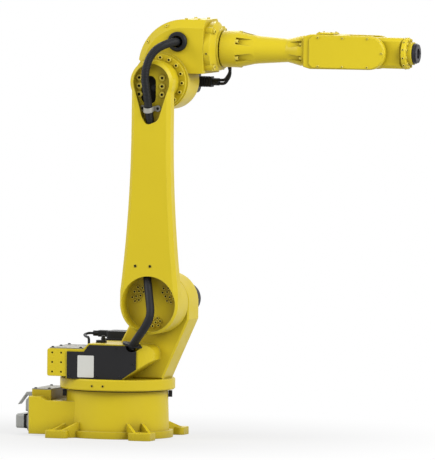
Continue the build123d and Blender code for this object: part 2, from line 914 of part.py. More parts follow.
def elbow_motor():
    """Servo motor on the far side of the elbow."""
    centre = Pos(elbow_x, elbow_z)
    flange_end = casing_half_width + elbow_motor_flange_depth
    flange = RectangleRounded(elbow_motor_flange_width, elbow_motor_flange_width, motor_corner)
    case = RectangleRounded(elbow_motor_width, elbow_motor_width, motor_corner)
    cap = RectangleRounded(elbow_motor_cap_width, elbow_motor_cap_width, motor_corner)
    body = across(centre * flange, casing_half_width, flange_end)
    body += across(centre * case, flange_end, elbow_motor_body_end)
    return body + across(centre * cap, elbow_motor_body_end, elbow_motor_end)


def elbow_plug():
    """Plug on the front of the elbow motor."""
    seat_x = elbow_x + elbow_motor_width / 2
    neck_x = seat_x + elbow_plug_length
    middle = Pos(elbow_plug_y, elbow_z - elbow_plug_drop)
    outer = middle * RectangleRounded(elbow_plug_width, elbow_plug_height, plug_corner)
    sunk = 2 * elbow_plug_groove_depth
    inner = middle * RectangleRounded(elbow_plug_width - sunk, elbow_plug_height - sunk, plug_corner)
    body = along(outer, seat_x, neck_x)
    for share in elbow_plug_groove_shares:
        groove_x = seat_x + share * elbow_plug_length
        body -= along(outer - inner, groove_x, groove_x + elbow_plug_groove)
    return body + along(middle * Circle(elbow_collar_radius), neck_x, neck_x + elbow_collar_length)


def elbow_lead_route():
    """Bow of lead from the plug up to the gland."""
    start_x = elbow_x + elbow_motor_width / 2 + elbow_plug_length + elbow_collar_length
    start_z = elbow_z - elbow_plug_drop
    end_y = casing_half_width + elbow_gland_depth
    end_z = roll_z - elbow_gland_drop
    return [
        (start_x, elbow_plug_y, start_z),
        (start_x + 4 * elbow_lead_radius, elbow_plug_y, start_z),
        (start_x + 8 * elbow_lead_radius, elbow_plug_y, start_z + 6 * elbow_lead_radius),
        (start_x + 6 * elbow_lead_radius, elbow_plug_y, end_z - 5 * elbow_lead_radius),
        (elbow_gland_x + 4 * elbow_lead_radius, elbow_plug_y, end_z - elbow_lead_radius),
        (elbow_gland_x, end_y + 4 * elbow_lead_radius, end_z),
        (elbow_gland_x, end_y, end_z),
    ]


def elbow_leads():
    """Two leads side by side from the plug to the gland on the casing."""
    lead = hose(elbow_lead_route(), elbow_lead_radius)
    leads = [Pos(0, 0, side * elbow_lead_spread) * lead for side in (-1, 1)]
    return Compound(children=leads)


def elbow_gland():
    """Gland block on the casing where the leads go in."""
    middle = Pos(elbow_gland_x, roll_z - elbow_gland_drop)
    block = middle * RectangleRounded(elbow_gland_width, elbow_gland_height, plug_corner)
    return across(block, casing_half_width, casing_half_width + elbow_gland_depth)


# Forearm

def bolt_pockets(body, x_low, x_high, floor_radius, width):
    """Cut a ring of bolt pockets into a turned body."""
    outline = rectangle_between(-width / 2, width / 2, floor_radius, 2 * forearm_flange_radius)
    for index in range(pocket_count):
        turn = Pos(0, 0, roll_z) * Rot(360 / pocket_count * index, 0, 0)
        body -= turn * along(outline, x_low, x_high)
    return body


def forearm_tube():
    """Tapered tube with bolt pockets at both flanges."""
    body = turned_about_roll_axis(
        (nose_end_x - roll_shaft_length, 0),
        (nose_end_x - roll_shaft_length, roll_shaft_radius),
        (forearm_start_x, roll_shaft_radius),
        (forearm_start_x, forearm_flange_radius),
        (forearm_flange_x, forearm_flange_radius),
        (forearm_cone_x, forearm_cone_radius),
        (forearm_waist_x, forearm_waist_radius),
        (forearm_flare_x, forearm_flare_radius),
        (housing_rear_x, forearm_flare_radius),
        (housing_rear_x, 0),
    )
    body = bolt_pockets(body, forearm_flange_x, forearm_cone_x, bolt_pocket_radius, bolt_pocket_width)
    front_end_x = forearm_flare_x + front_pocket_reach
    return bolt_pockets(body, forearm_waist_x, front_end_x, front_pocket_radius, front_pocket_width)


def wrist_housing():
    """Wrist housing that ends in a fork round the bend axis."""
    shoulder_end_x = housing_rear_x + housing_shoulder_length
    outline = polygon(
        (housing_rear_x, -forearm_flare_radius),
        (housing_rear_x, forearm_flare_radius),
        (shoulder_end_x, housing_half_height),
        (wrist_x, fork_radius),
        (wrist_x, -fork_radius),
        (shoulder_end_x, -housing_half_height),
    )
    outline += Pos(wrist_x, 0) * Circle(fork_radius)
    body = across(outline, -housing_half_width, housing_half_width)
    body = chamfer(near_edges(body) + far_edges(body), housing_edge)
    slot = rectangle_between(
        wrist_x - fork_depth,
        wrist_x + 2 * fork_radius,
        -2 * housing_half_height,
        2 * housing_half_height,
    )
    body -= across(slot, -fork_half_gap, fork_half_gap)
    bore = Pos(wrist_x, 0) * Circle(fork_bore_radius + running_gap)
    reach = wrist_half_width + wrist_pin_length + running_gap
    return Pos(0, 0, roll_z) * (body - across(bore, -reach, reach))


def wrist_side_cover(side):
    """Cover on one cheek of the wrist housing, round in front and cut at its rear corners."""
    rear_x = housing_rear_x + side_cover_inset
    corner_x = rear_x + side_cover_corner
    corner_z = side_cover_radius - side_cover_corner
    outline = polygon(
        (rear_x, -corner_z),
        (rear_x, corner_z),
        (corner_x, side_cover_radius),
        (wrist_x, side_cover_radius),
        (wrist_x, -side_cover_radius),
        (corner_x, -side_cover_radius),
    )
    outline += Pos(wrist_x, 0) * Circle(side_cover_radius)
    faces = sorted((side * housing_half_width, side * (housing_half_width + side_cover_thickness)))
    return Pos(0, 0, roll_z) * across(outline, *faces)


def wrist_top_cover():
    """Small raised cover on top of the wrist housing."""
    rear_x = housing_rear_x + top_cover_rear
    seat_z = roll_z + housing_half_height
    front_x = rear_x + top_cover_length
    outline = rectangle_between(rear_x, front_x, -top_cover_half_width, top_cover_half_width)
    body = upright(outline, seat_z, seat_z + top_cover_thickness)
    return chamfer(body.faces().sort_by(Axis.Z)[-1].edges(), top_cover_edge)


def wrist_block():
    """Block between the fork cheeks, with a pin into each cheek."""
    outline = rectangle_between(wrist_x, wrist_ring_x, -wrist_half_height, wrist_half_height)
    outline += Pos(wrist_x, 0) * Circle(wrist_half_height)
    body = across(outline, -wrist_half_width, wrist_half_width)
    body = chamfer(near_edges(body) + far_edges(body), wrist_corner)
    reach = wrist_half_width + wrist_pin_length
    body += across(Pos(wrist_x, 0) * Circle(fork_bore_radius), -reach, reach)
    return Pos(0, 0, roll_z) * body


def wrist_ring():
    """Bolted ring and neck at the front of the wrist block."""
    body = turned_about_roll_axis(
        (wrist_ring_x, 0),
        (wrist_ring_x, wrist_ring_radius),
        (wrist_ring_end_x - wrist_ring_edge, wrist_ring_radius),
        (wrist_ring_end_x, wrist_ring_radius - wrist_ring_edge),
        (wrist_ring_end_x, wrist_neck_radius),
        (wrist_neck_end_x, wrist_neck_radius),
        (wrist_neck_end_x, 0),
    )
    bore = Pos(0, roll_z) * Circle(tool_shaft_radius + running_gap)
    return body - along(bore, tool_rear_x - tool_shaft_length - overrun, wrist_neck_end_x + overrun)


def tool_flange():
    """Tool flange with a pilot bore and a circle of tapped holes."""
    rim_end = tool_rear_x + tool_rim_depth
    body = turned_about_roll_axis(
        (tool_rear_x - tool_shaft_length, 0),
        (tool_rear_x - tool_shaft_length, tool_shaft_radius),
        (tool_rear_x, tool_shaft_radius),
        (tool_rear_x, tool_rim_radius),
        (rim_end, tool_rim_radius),
        (rim_end, tool_face_radius),
        (face_x, tool_face_radius),
        (face_x, 0),
    )
    pilot = Pos(0, roll_z) * Circle(tool_pilot_radius)
    body -= along(pilot, face_x - tool_pilot_depth, face_x)
    for index in range(tool_bolt_count):
        angle = math.radians(360 / tool_bolt_count * index)
        half = tool_bolt_circle / 2
        middle = Pos(half * math.cos(angle), roll_z + half * math.sin(angle))
        body -= along(middle * Circle(tool_bolt_radius), face_x - tool_bolt_depth, face_x)
    return body


nodes = {
    "base_pedestal": base_pedestal(),
    "slewing_ring": slewing_ring(),
    "connector_box_lid": connector_box_lid(),
    "connector_plate": connector_plate(),
    "lower_connector": connector_socket(lower_connector_bottom),
    "lower_connector_cap": connector_cap(lower_connector_bottom),
    "upper_connector": connector_socket(upper_connector_bottom),
    "upper_connector_lever": connector_lever(),
    "front_stop": turntable_stop(stop_angle),
    "rear_stop": turntable_stop(stop_angle + 180),
    "turret_casting": turret_casting(),
    "cable_box_cover": cable_box_cover(),
    "junction_box": junction_box(),
    "junction_box_lid": junction_box_lid(),
    "turntable_motor": turntable_motor(),
    "turntable_plug": turntable_plug(),
    "turntable_lead": hose(turntable_lead_route(), lead_radius),
    "shoulder_reducer": shoulder_reducer(),
    "shoulder_motor": shoulder_motor(),
    "hose_gland": hose_gland(),
    "lower_hose": hose(lower_hose_route, hose_radius),
    "lower_arm": lower_arm(),
    "hose_clamp": hose_clamp(),
    "upper_hose": hose(upper_hose_route, hose_radius),
    "elbow_casing": elbow_casing(),
    "elbow_ring": elbow_ring(),
    "elbow_nose": elbow_nose(),
    "hose_grommet": hose_grommet(),
    "elbow_motor": elbow_motor(),
    "elbow_plug": elbow_plug(),
    "elbow_leads": elbow_leads(),
    "elbow_gland": elbow_gland(),
    "forearm_tube": forearm_tube(),
    "wrist_housing": wrist_housing(),
    "near_wrist_cover": wrist_side_cover(-1),
    "far_wrist_cover": wrist_side_cover(1),
    "wrist_top_cover": wrist_top_cover(),
    "wrist_block": wrist_block(),
    "wrist_ring": wrist_ring(),
    "tool_flange": tool_flange(),
}

for route_name, route in (
    ("turntable lead", turntable_lead_route()),
    ("lower hose", lower_hose_route),
    ("upper hose", upper_hose_route),
    ("elbow leads", elbow_lead_route()),
):
    print(route_name, "bend radii", [round(radius) for radius in bend_radii(route)])

os.makedirs("parts", exist_ok=True)
for name, solid in nodes.items():
    export_step(solid, f"parts/{name}.step")
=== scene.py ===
import math
import bmesh
import bpy
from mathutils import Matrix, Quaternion, Vector


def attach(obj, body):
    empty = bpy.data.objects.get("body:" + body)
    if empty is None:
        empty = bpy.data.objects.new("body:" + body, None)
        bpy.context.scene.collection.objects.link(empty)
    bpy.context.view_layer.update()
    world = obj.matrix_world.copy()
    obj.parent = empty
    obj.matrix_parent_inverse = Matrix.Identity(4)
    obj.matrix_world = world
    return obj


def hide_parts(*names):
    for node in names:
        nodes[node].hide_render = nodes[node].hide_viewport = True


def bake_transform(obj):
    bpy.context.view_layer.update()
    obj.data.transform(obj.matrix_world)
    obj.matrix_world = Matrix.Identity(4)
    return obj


# Six-axis industrial robot arm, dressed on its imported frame. Lengths are in metres.

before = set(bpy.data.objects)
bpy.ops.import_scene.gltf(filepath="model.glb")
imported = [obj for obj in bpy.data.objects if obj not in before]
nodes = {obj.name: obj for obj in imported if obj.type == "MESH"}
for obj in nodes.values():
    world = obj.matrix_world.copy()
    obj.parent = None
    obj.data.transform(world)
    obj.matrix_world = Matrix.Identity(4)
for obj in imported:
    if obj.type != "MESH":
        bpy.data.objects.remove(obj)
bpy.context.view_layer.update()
scene = bpy.context.scene


# Colours, written as they look on a screen

def tone(code):
    """A screen colour such as F0E040 as the linear colour that a shader takes."""
    linear = []
    for start in (0, 2, 4):
        share = int(code[start:start + 2], 16) / 255
        linear.append(share / 12.92 if share <= 0.04045 else ((share + 0.055) / 1.055) ** 2.4)
    return (*linear, 1.0)


# Node trees

def new_group(name, kind, inputs, outputs):
    """An empty node group with named sockets, and its input and output nodes."""
    group = bpy.data.node_groups.new(name, kind)
    for label, socket_kind, value in inputs:
        socket = group.interface.new_socket(label, in_out="INPUT", socket_type=socket_kind)
        if value is not None:
            socket.default_value = value
    for label, socket_kind in outputs:
        group.interface.new_socket(label, in_out="OUTPUT", socket_type=socket_kind)
    return group, group.nodes.new("NodeGroupInput"), group.nodes.new("NodeGroupOutput")


def add(tree, kind, **settings):
    """A node of that kind with its own settings."""
    node = tree.nodes.new(kind)
    for name, value in settings.items():
        setattr(node, name, value)
    return node


def feed(tree, node, **sources):
    """Fill a node's inputs, named with _ for a space, from other sockets or with plain values."""
    for name, source in sources.items():
        socket = node.inputs[int(name[1:]) if name[1:].isdigit() else name.replace("_", " ")]
        if isinstance(source, bpy.types.NodeSocket):
            tree.links.new(source, socket)
        else:
            socket.default_value = source
    return node


def math_node(tree, operation, first, second=None):
    """The result of one sum on two sockets or plain values."""
    node = add(tree, "ShaderNodeMath", operation=operation)
    feed(tree, node, n0=first)
    if second is not None:
        feed(tree, node, n1=second)
    return node.outputs[0]


# Effects that several finishes share

def build_rounded_edges():
    """The normal of softly rounded edges, and a mask that is 1 along them."""
    group, entry, result = new_group(
        "rounded_edges", "ShaderNodeTree",
        [("Radius", "NodeSocketFloat", 0.003)],
        [("Normal", "NodeSocketVector"), ("Edge", "NodeSocketFloat")])
    bevel = feed(group, add(group, "ShaderNodeBevel", samples=6), Radius=entry.outputs["Radius"])
    flat = add(group, "ShaderNodeNewGeometry")
    likeness = add(group, "ShaderNodeVectorMath", operation="DOT_PRODUCT")
    feed(group, likeness, n0=bevel.outputs["Normal"], n1=flat.outputs["Normal"])
    edge = add(group, "ShaderNodeMapRange")
    feed(group, edge, Value=likeness.outputs["Value"], From_Min=0.99, From_Max=0.8)
    feed(group, result, Normal=bevel.outputs["Normal"], Edge=edge.outputs["Result"])
    return group


def build_coated_skin():
    """A coated or cast skin: slow changes of tone, a painted highlight on edges, painted shade in corners,
    and its grain as height.
    """
    group, entry, result = new_group(
        "coated_skin", "ShaderNodeTree",
        [("Coat", "NodeSocketColor", (0.8, 0.8, 0.8, 1)),
         ("Deep", "NodeSocketColor", (0.7, 0.7, 0.7, 1)),
         ("Thin", "NodeSocketColor", (0.9, 0.9, 0.9, 1)),
         ("Edge", "NodeSocketFloat", 0.0),
         ("Smoothest", "NodeSocketFloat", 0.35),
         ("Roughest", "NodeSocketFloat", 0.5),
         ("Grain Scale", "NodeSocketFloat", 300.0),
         ("Corner Reach", "NodeSocketFloat", 0.07),
         ("Corner Shade", "NodeSocketFloat", 0.3)],
        [("Color", "NodeSocketColor"), ("Roughness", "NodeSocketFloat"), ("Height", "NodeSocketFloat")])
    place = add(group, "ShaderNodeTexCoord").outputs["Object"]
    slow = feed(group, add(group, "ShaderNodeTexNoise"), Vector=place, Scale=3.1, Detail=3.0)
    patches = feed(group, add(group, "ShaderNodeTexNoise"), Vector=place, Scale=17.0, Detail=4.0)
    grain = feed(group, add(group, "ShaderNodeTexNoise"), Vector=place,
                 Scale=entry.outputs["Grain Scale"], Detail=2.0)
    toned = add(group, "ShaderNodeMix", data_type="RGBA")
    highlighted = add(group, "ShaderNodeMix", data_type="RGBA")
    group.links.new(slow.outputs["Fac"], toned.inputs["Factor"])
    group.links.new(entry.outputs["Coat"], toned.inputs["A"])
    group.links.new(entry.outputs["Deep"], toned.inputs["B"])
    # Painted highlight: along edges the colour turns to the lighter third tone.
    group.links.new(entry.outputs["Edge"], highlighted.inputs["Factor"])
    group.links.new(toned.outputs["Result"], highlighted.inputs["A"])
    group.links.new(entry.outputs["Thin"], highlighted.inputs["B"])
    # Painted shade: the colour darkens in corners and hollows that the ambient occlusion finds.
    open_share = feed(group, add(group, "ShaderNodeAmbientOcclusion", samples=8),
                      Distance=entry.outputs["Corner Reach"])
    painted_corner_shade = feed(group, add(group, "ShaderNodeMapRange"), Value=open_share.outputs["AO"],
                     From_Min=0.95, From_Max=0.3, To_Min=0.0, To_Max=entry.outputs["Corner Shade"])
    shaded = add(group, "ShaderNodeMix", data_type="RGBA", blend_type="MULTIPLY")
    group.links.new(painted_corner_shade.outputs["Result"], shaded.inputs["Factor"])
    group.links.new(highlighted.outputs["Result"], shaded.inputs["A"])
    # The dark brown of the painted corner shade.
    shaded.inputs["B"].default_value = tone("4A3A10")
    sheen = feed(group, add(group, "ShaderNodeMapRange"), Value=patches.outputs["Fac"],
                 From_Min=0.3, From_Max=0.7,
                 To_Min=entry.outputs["Smoothest"], To_Max=entry.outputs["Roughest"])
    feed(group, result, Color=shaded.outputs["Result"], Roughness=sheen.outputs["Result"],
         Height=grain.outputs["Fac"])
    return group


rounded_edges = build_rounded_edges()
coated_skin = build_coated_skin()


# Finishes

def skin_material(name, coat, deep, edge_highlight, smoothest, roughest, edge_radius, grain_scale, grain_height,
                  metallic=0.0, gloss=0.5, corner_shade=0.2):
    """A finish with the shared skin and edges, with a painted highlight along edges and painted shade in
    corners. Tones are screen colours, heights are in metres.
    """
    material = bpy.data.materials.new(name)
    material.use_nodes = True
    tree = material.node_tree
    shader = tree.nodes["Principled BSDF"]
    shader.inputs["Metallic"].default_value = metallic
    shader.inputs["Specular IOR Level"].default_value = gloss
    edges = feed(tree, add(tree, "ShaderNodeGroup", node_tree=rounded_edges), Radius=edge_radius)
    skin = feed(tree, add(tree, "ShaderNodeGroup", node_tree=coated_skin),
                Coat=tone(coat), Deep=tone(deep), Thin=tone(edge_highlight), Edge=edges.outputs["Edge"],
                Smoothest=smoothest, Roughest=roughest, Grain_Scale=grain_scale, Corner_Shade=corner_shade)
    bump = feed(tree, add(tree, "ShaderNodeBump"), Distance=grain_height,
                Height=skin.outputs["Height"], Normal=edges.outputs["Normal"])
    feed(tree, shader, Base_Color=skin.outputs["Color"], Roughness=skin.outputs["Roughness"],
         Normal=bump.outputs["Normal"])
    return material


def robot_paint(name, edge_radius):
    """The yellow of the castings, with edges that look rounded by that radius."""
    # The third tone is the painted edge highlight; corner_shade sets the painted shade in corners.
    return skin_material(name, "DCC620", "D5BD1C", "E8D64A", 0.38, 0.48, edge_radius, 420.0, 0.00012,
                         gloss=0.3, corner_shade=0.5)


yellow_paint = robot_paint("yellow_paint", 0.004)
lip_paint = robot_paint("lip_paint", 0.0003)
# In each finish below the third tone is the painted edge highlight.
bolt_paint = skin_material(
    "bolt_paint", "E4D148", "DCC73C", "EEDF70", 0.3, 0.4, 0.001, 900.0, 0.00006, gloss=0.45)
black_cover = skin_material(
    "black_cover", "1E1E20", "232325", "303033", 0.42, 0.55, 0.002, 900.0, 0.00012, gloss=0.2)
black_motor = skin_material(
    "black_motor", "1D1D1F", "232325", "313134", 0.4, 0.52, 0.0025, 700.0, 0.00015, gloss=0.22)
black_plug = skin_material(
    "black_plug", "19191B", "1F1F21", "2C2C2F", 0.42, 0.55, 0.0015, 1200.0, 0.00008, gloss=0.22)
black_rubber = skin_material(
    "black_rubber", "17181A", "1C1D20", "26272A", 0.45, 0.62, 0.001, 1500.0, 0.00006, gloss=0.25)
grey_plate = skin_material(
    "grey_plate", "8E8B7E", "848175", "A09D92", 0.4, 0.5, 0.0015, 800.0, 0.00008, gloss=0.4,
    corner_shade=0.0)
connector_metal = skin_material(
    "connector_metal", "A9AAA6", "989994", "C0C1BD", 0.34, 0.48, 0.002, 900.0, 0.00012, metallic=0.5)
clamp_metal = skin_material(
    "clamp_metal", "A3A29A", "93928B", "BCBBB4", 0.38, 0.5, 0.0015, 900.0, 0.00012, metallic=0.5)
bearing_steel = skin_material(
    "bearing_steel", "4A4A4C", "404042", "66666A", 0.35, 0.5, 0.001, 900.0, 0.00005, metallic=0.8)
dark_flange = skin_material(
    "dark_flange", "29282D", "313036", "424147", 0.34, 0.46, 0.0015, 900.0, 0.00008, metallic=0.3, gloss=0.3)
black_bolt = skin_material(
    "black_bolt", "232325", "2A2A2C", "3A3A3D", 0.34, 0.46, 0.0008, 1600.0, 0.00004, metallic=0.3, gloss=0.3)
bare_plate = skin_material(
    "bare_plate", "DEDED8", "D3D3CD", "EAEAE6", 0.4, 0.5, 0.0006, 1200.0, 0.00002, gloss=0.4)
# Near black: painted shade in the pits of bolt heads and in the slot of the arm.
dark_hollow = skin_material(
    "dark_hollow", "141412", "191816", "22211E", 0.6, 0.75, 0.0005, 1500.0, 0.00003, gloss=0.1)

finish_of_nodes = {
    black_cover: ["cable_box_cover"],
    black_motor: ["turntable_motor", "shoulder_motor", "elbow_motor"],
    black_plug: ["turntable_plug", "elbow_plug", "elbow_gland", "hose_gland", "front_stop", "rear_stop"],
    black_rubber: ["hose_grommet", "turntable_lead", "elbow_leads", "lower_hose", "upper_hose"],
    grey_plate: ["connector_box_lid", "junction_box_lid"],
    connector_metal: ["connector_plate", "lower_connector", "lower_connector_cap", "upper_connector",
                      "upper_connector_lever"],
    clamp_metal: ["hose_clamp"],
    bearing_steel: ["slewing_ring"],
    dark_flange: ["tool_flange"],
}


def paint_nodes():
    """Each CAD node takes its finish, and the castings take the paint."""
    finish_of = {name: finish for finish, members in finish_of_nodes.items() for name in members}
    for name, node in nodes.items():
        finish = finish_of.get(name, yellow_paint)
        if not node.material_slots:
            node.data.materials.append(finish)
        for place in node.material_slots:
            place.material = finish


paint_nodes()


# Bolts and screws, made by Geometry Nodes

def build_bolt_heads():
    """Round heads with a chamfered rim and a hexagon pit, one on each point and along its facing."""
    tree, entry, result = new_group(
        "bolt_heads", "GeometryNodeTree",
        [("Places", "NodeSocketGeometry", None),
         ("Head Radius", "NodeSocketFloat", 0.009),
         ("Head Height", "NodeSocketFloat", 0.008),
         ("Rim", "NodeSocketFloat", 0.001),
         ("Pit Radius", "NodeSocketFloat", 0.005),
         ("Pit Depth", "NodeSocketFloat", 0.005),
         ("Head Finish", "NodeSocketMaterial", None),
         ("Pit Finish", "NodeSocketMaterial", None)],
        [("Heads", "NodeSocketGeometry")])
    radius, rim = entry.outputs["Head Radius"], entry.outputs["Rim"]
    disc = feed(tree, add(tree, "GeometryNodeMeshCircle", fill_type="NGON"), Vertices=24, Radius=radius)
    wall_height = math_node(tree, "SUBTRACT", entry.outputs["Head Height"], rim)
    wall = feed(tree, add(tree, "GeometryNodeExtrudeMesh", mode="FACES"), Mesh=disc.outputs["Mesh"],
                Offset_Scale=wall_height)
    slope = feed(tree, add(tree, "GeometryNodeExtrudeMesh", mode="FACES"), Mesh=wall.outputs["Mesh"],
                 Selection=wall.outputs["Top"], Offset_Scale=rim)
    narrow = math_node(tree, "DIVIDE", math_node(tree, "SUBTRACT", radius, rim), radius)
    crown = feed(tree, add(tree, "GeometryNodeScaleElements", domain="FACE"), Geometry=slope.outputs["Mesh"],
                 Selection=slope.outputs["Top"], Scale=narrow)
    inset = feed(tree, add(tree, "GeometryNodeExtrudeMesh", mode="FACES"), Mesh=crown.outputs["Geometry"],
                 Selection=slope.outputs["Top"], Offset_Scale=0.0)
    place = add(tree, "GeometryNodeInputPosition").outputs["Position"]
    parts = feed(tree, add(tree, "ShaderNodeSeparateXYZ"), Vector=place).outputs
    bearing = math_node(tree, "ARCTAN2", parts["Y"], parts["X"])
    side_angle = math_node(tree, "FLOORED_MODULO", bearing, math.pi / 3)
    from_middle = math_node(tree, "COSINE", math_node(tree, "SUBTRACT", side_angle, math.pi / 6))
    flat = math_node(tree, "MULTIPLY", entry.outputs["Pit Radius"], math.cos(math.pi / 6))
    reach = math_node(tree, "DIVIDE", flat, from_middle)
    hexagon = feed(tree, add(tree, "ShaderNodeCombineXYZ"),
                   X=math_node(tree, "MULTIPLY", reach, math_node(tree, "COSINE", bearing)),
                   Y=math_node(tree, "MULTIPLY", reach, math_node(tree, "SINE", bearing)),
                   Z=parts["Z"])
    shaped = feed(tree, add(tree, "GeometryNodeSetPosition"), Geometry=inset.outputs["Mesh"],
                  Selection=inset.outputs["Top"], Position=hexagon.outputs["Vector"])
    sunk = feed(tree, add(tree, "GeometryNodeExtrudeMesh", mode="FACES"), Mesh=shaped.outputs["Geometry"],
                Selection=inset.outputs["Top"],
                Offset_Scale=math_node(tree, "MULTIPLY", entry.outputs["Pit Depth"], -1.0))
    in_pit = add(tree, "FunctionNodeBooleanMath", operation="OR")
    feed(tree, in_pit, n0=sunk.outputs["Top"], n1=sunk.outputs["Side"])
    marked = feed(tree, add(tree, "GeometryNodeStoreNamedAttribute", data_type="BOOLEAN", domain="FACE"),
                  Geometry=sunk.outputs["Mesh"], Name="pit", Value=in_pit.outputs["Boolean"])
    underside = feed(tree, add(tree, "GeometryNodeFlipFaces"), Mesh=disc.outputs["Mesh"])
    joined = add(tree, "GeometryNodeJoinGeometry")
    tree.links.new(underside.outputs["Mesh"], joined.inputs["Geometry"])
    tree.links.new(marked.outputs["Geometry"], joined.inputs["Geometry"])
    closed = feed(tree, add(tree, "GeometryNodeMergeByDistance"), Geometry=joined.outputs["Geometry"],
                  Distance=0.00001)
    facing = add(tree, "GeometryNodeInputNamedAttribute", data_type="FLOAT_VECTOR")
    feed(tree, facing, Name="facing")
    turned = feed(tree, add(tree, "FunctionNodeAlignRotationToVector", axis="Z"),
                  Vector=facing.outputs["Attribute"])
    set_out = feed(tree, add(tree, "GeometryNodeInstanceOnPoints"), Points=entry.outputs["Places"],
                   Instance=closed.outputs["Geometry"], Rotation=turned.outputs["Rotation"])
    tightened = feed(tree, add(tree, "FunctionNodeRandomValue", data_type="FLOAT"), Seed=7)
    feed(tree, tightened, n2=0.0, n3=math.pi / 3)
    spin = feed(tree, add(tree, "ShaderNodeCombineXYZ"), Z=tightened.outputs[1])
    spun = feed(tree, add(tree, "GeometryNodeRotateInstances"), Instances=set_out.outputs["Instances"],
                Rotation=spin.outputs["Vector"], Local_Space=True)
    real = feed(tree, add(tree, "GeometryNodeRealizeInstances"), Geometry=spun.outputs["Instances"])
    heads = feed(tree, add(tree, "GeometryNodeSetMaterial"), Geometry=real.outputs["Geometry"],
                 Material=entry.outputs["Head Finish"])
    pit = add(tree, "GeometryNodeInputNamedAttribute", data_type="BOOLEAN")
    feed(tree, pit, Name="pit")
    pits = feed(tree, add(tree, "GeometryNodeSetMaterial"), Geometry=heads.outputs["Geometry"],
                Selection=pit.outputs["Attribute"], Material=entry.outputs["Pit Finish"])
    feed(tree, result, Heads=pits.outputs["Geometry"])
    return tree


def build_hose():
    """A round hose along a route, with ribs round it at an even spacing."""
    tree, entry, result = new_group(
        "ribbed_hose", "GeometryNodeTree",
        [("Places", "NodeSocketGeometry", None),
         ("Route", "NodeSocketObject", None),
         ("Radius", "NodeSocketFloat", 0.0165),
         ("Rib Spacing", "NodeSocketFloat", 0.006),
         ("Rib Height", "NodeSocketFloat", 0.0008),
         ("Finish", "NodeSocketMaterial", None)],
        [("Hose", "NodeSocketGeometry")])
    route = feed(tree, add(tree, "GeometryNodeObjectInfo"), Object=entry.outputs["Route"])
    step = math_node(tree, "DIVIDE", entry.outputs["Rib Spacing"], 6.0)
    fine = feed(tree, add(tree, "GeometryNodeResampleCurve", mode="LENGTH"), Curve=route.outputs["Geometry"],
                Length=step)
    along = add(tree, "GeometryNodeSplineParameter").outputs["Length"]
    ribs_passed = math_node(tree, "DIVIDE", along, entry.outputs["Rib Spacing"])
    turn = math_node(tree, "MULTIPLY", ribs_passed, math.tau)
    rib = math_node(tree, "MULTIPLY", math_node(tree, "COSINE", turn), entry.outputs["Rib Height"])
    girth = math_node(tree, "SUBTRACT", entry.outputs["Radius"],
                      math_node(tree, "ADD", rib, entry.outputs["Rib Height"]))
    ring = feed(tree, add(tree, "GeometryNodeCurvePrimitiveCircle"), Resolution=28, Radius=1.0)
    tube = feed(tree, add(tree, "GeometryNodeCurveToMesh"), Curve=fine.outputs["Curve"],
                Profile_Curve=ring.outputs["Curve"], Scale=girth, Fill_Caps=True)
    smooth = feed(tree, add(tree, "GeometryNodeSetShadeSmooth"), Geometry=tube.outputs["Mesh"])
    real = feed(tree, add(tree, "GeometryNodeRealizeInstances"), Geometry=smooth.outputs["Geometry"])
    dressed = feed(tree, add(tree, "GeometryNodeSetMaterial"), Geometry=real.outputs["Geometry"],
                   Material=entry.outputs["Finish"])
    feed(tree, result, Hose=dressed.outputs["Geometry"])
    return tree


bolt_heads = build_bolt_heads()
ribbed_hose = build_hose()


def grown(name, tree, mesh, **values):
    """The plain mesh object that a tree makes from a mesh and the values of its named inputs."""
    seed = bpy.data.objects.new(name, mesh)
    scene.collection.objects.link(seed)
    modifier = seed.modifiers.new(tree.name, "NODES")
    modifier.node_group = tree
    sockets = {item.name.replace(" ", "_"): item.identifier for item in tree.interface.items_tree
               if item.in_out == "INPUT"}
    for label, value in values.items():
        modifier[sockets[label]] = value
    graph = bpy.context.evaluated_depsgraph_get()
    plain = bpy.data.meshes.new_from_object(seed.evaluated_get(graph))
    plain.name = name
    seed.modifiers.clear()
    seed.data = plain
    return seed


def bolts(name, body, places, finish):
    """Bolt or screw heads on a body. Each place is the seat of a head and the way that it faces."""
    radius, height, rim, pit_radius, pit_depth = head_sizes[name]
    mesh = bpy.data.meshes.new(name)
    mesh.from_pydata([seat for seat, facing in places], [], [])
    facings = mesh.attributes.new("facing", "FLOAT_VECTOR", "POINT")
    for index, (seat, facing) in enumerate(places):
        facings.data[index].vector = facing
    piece = grown(name, bolt_heads, mesh, Head_Radius=radius, Head_Height=height, Rim=rim,
                  Pit_Radius=pit_radius, Pit_Depth=pit_depth, Head_Finish=finish, Pit_Finish=dark_hollow)
    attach(piece, body)
    return piece


def hose(name, points, radius, rib_spacing, rib_height, finish):
    """A hose along a smooth spline that keeps close to the route of its solid."""
    curve = bpy.data.curves.new(name + "_route", "CURVE")
    curve.dimensions = "3D"
    curve.resolution_u = 24
    spline = curve.splines.new("NURBS")
    spline.points.add(len(points) - 1)
    for point, place in zip(spline.points, points):
        point.co = (*place, 1.0)
    spline.order_u = 3
    spline.use_endpoint_u = True
    route = bpy.data.objects.new(name + "_route", curve)
    scene.collection.objects.link(route)
    piece = grown(name, ribbed_hose, bpy.data.meshes.new(name), Route=route, Radius=radius,
                  Rib_Spacing=rib_spacing, Rib_Height=rib_height, Finish=finish)
    bpy.data.objects.remove(route)
    return piece


# Plates and turned pieces

def rounded(width, height, corner, steps=6):
    """Corner points of a rectangle with round corners, about its middle."""
    points = []
    for turn, (side, rise) in enumerate(((1, 1), (-1, 1), (-1, -1), (1, -1))):
        for step in range(steps + 1):
            angle = math.radians(90 * (turn + step / steps))
            points.append((side * (width / 2 - corner) + corner * math.cos(angle),
                           rise * (height / 2 - corner) + corner * math.sin(angle)))
    return points


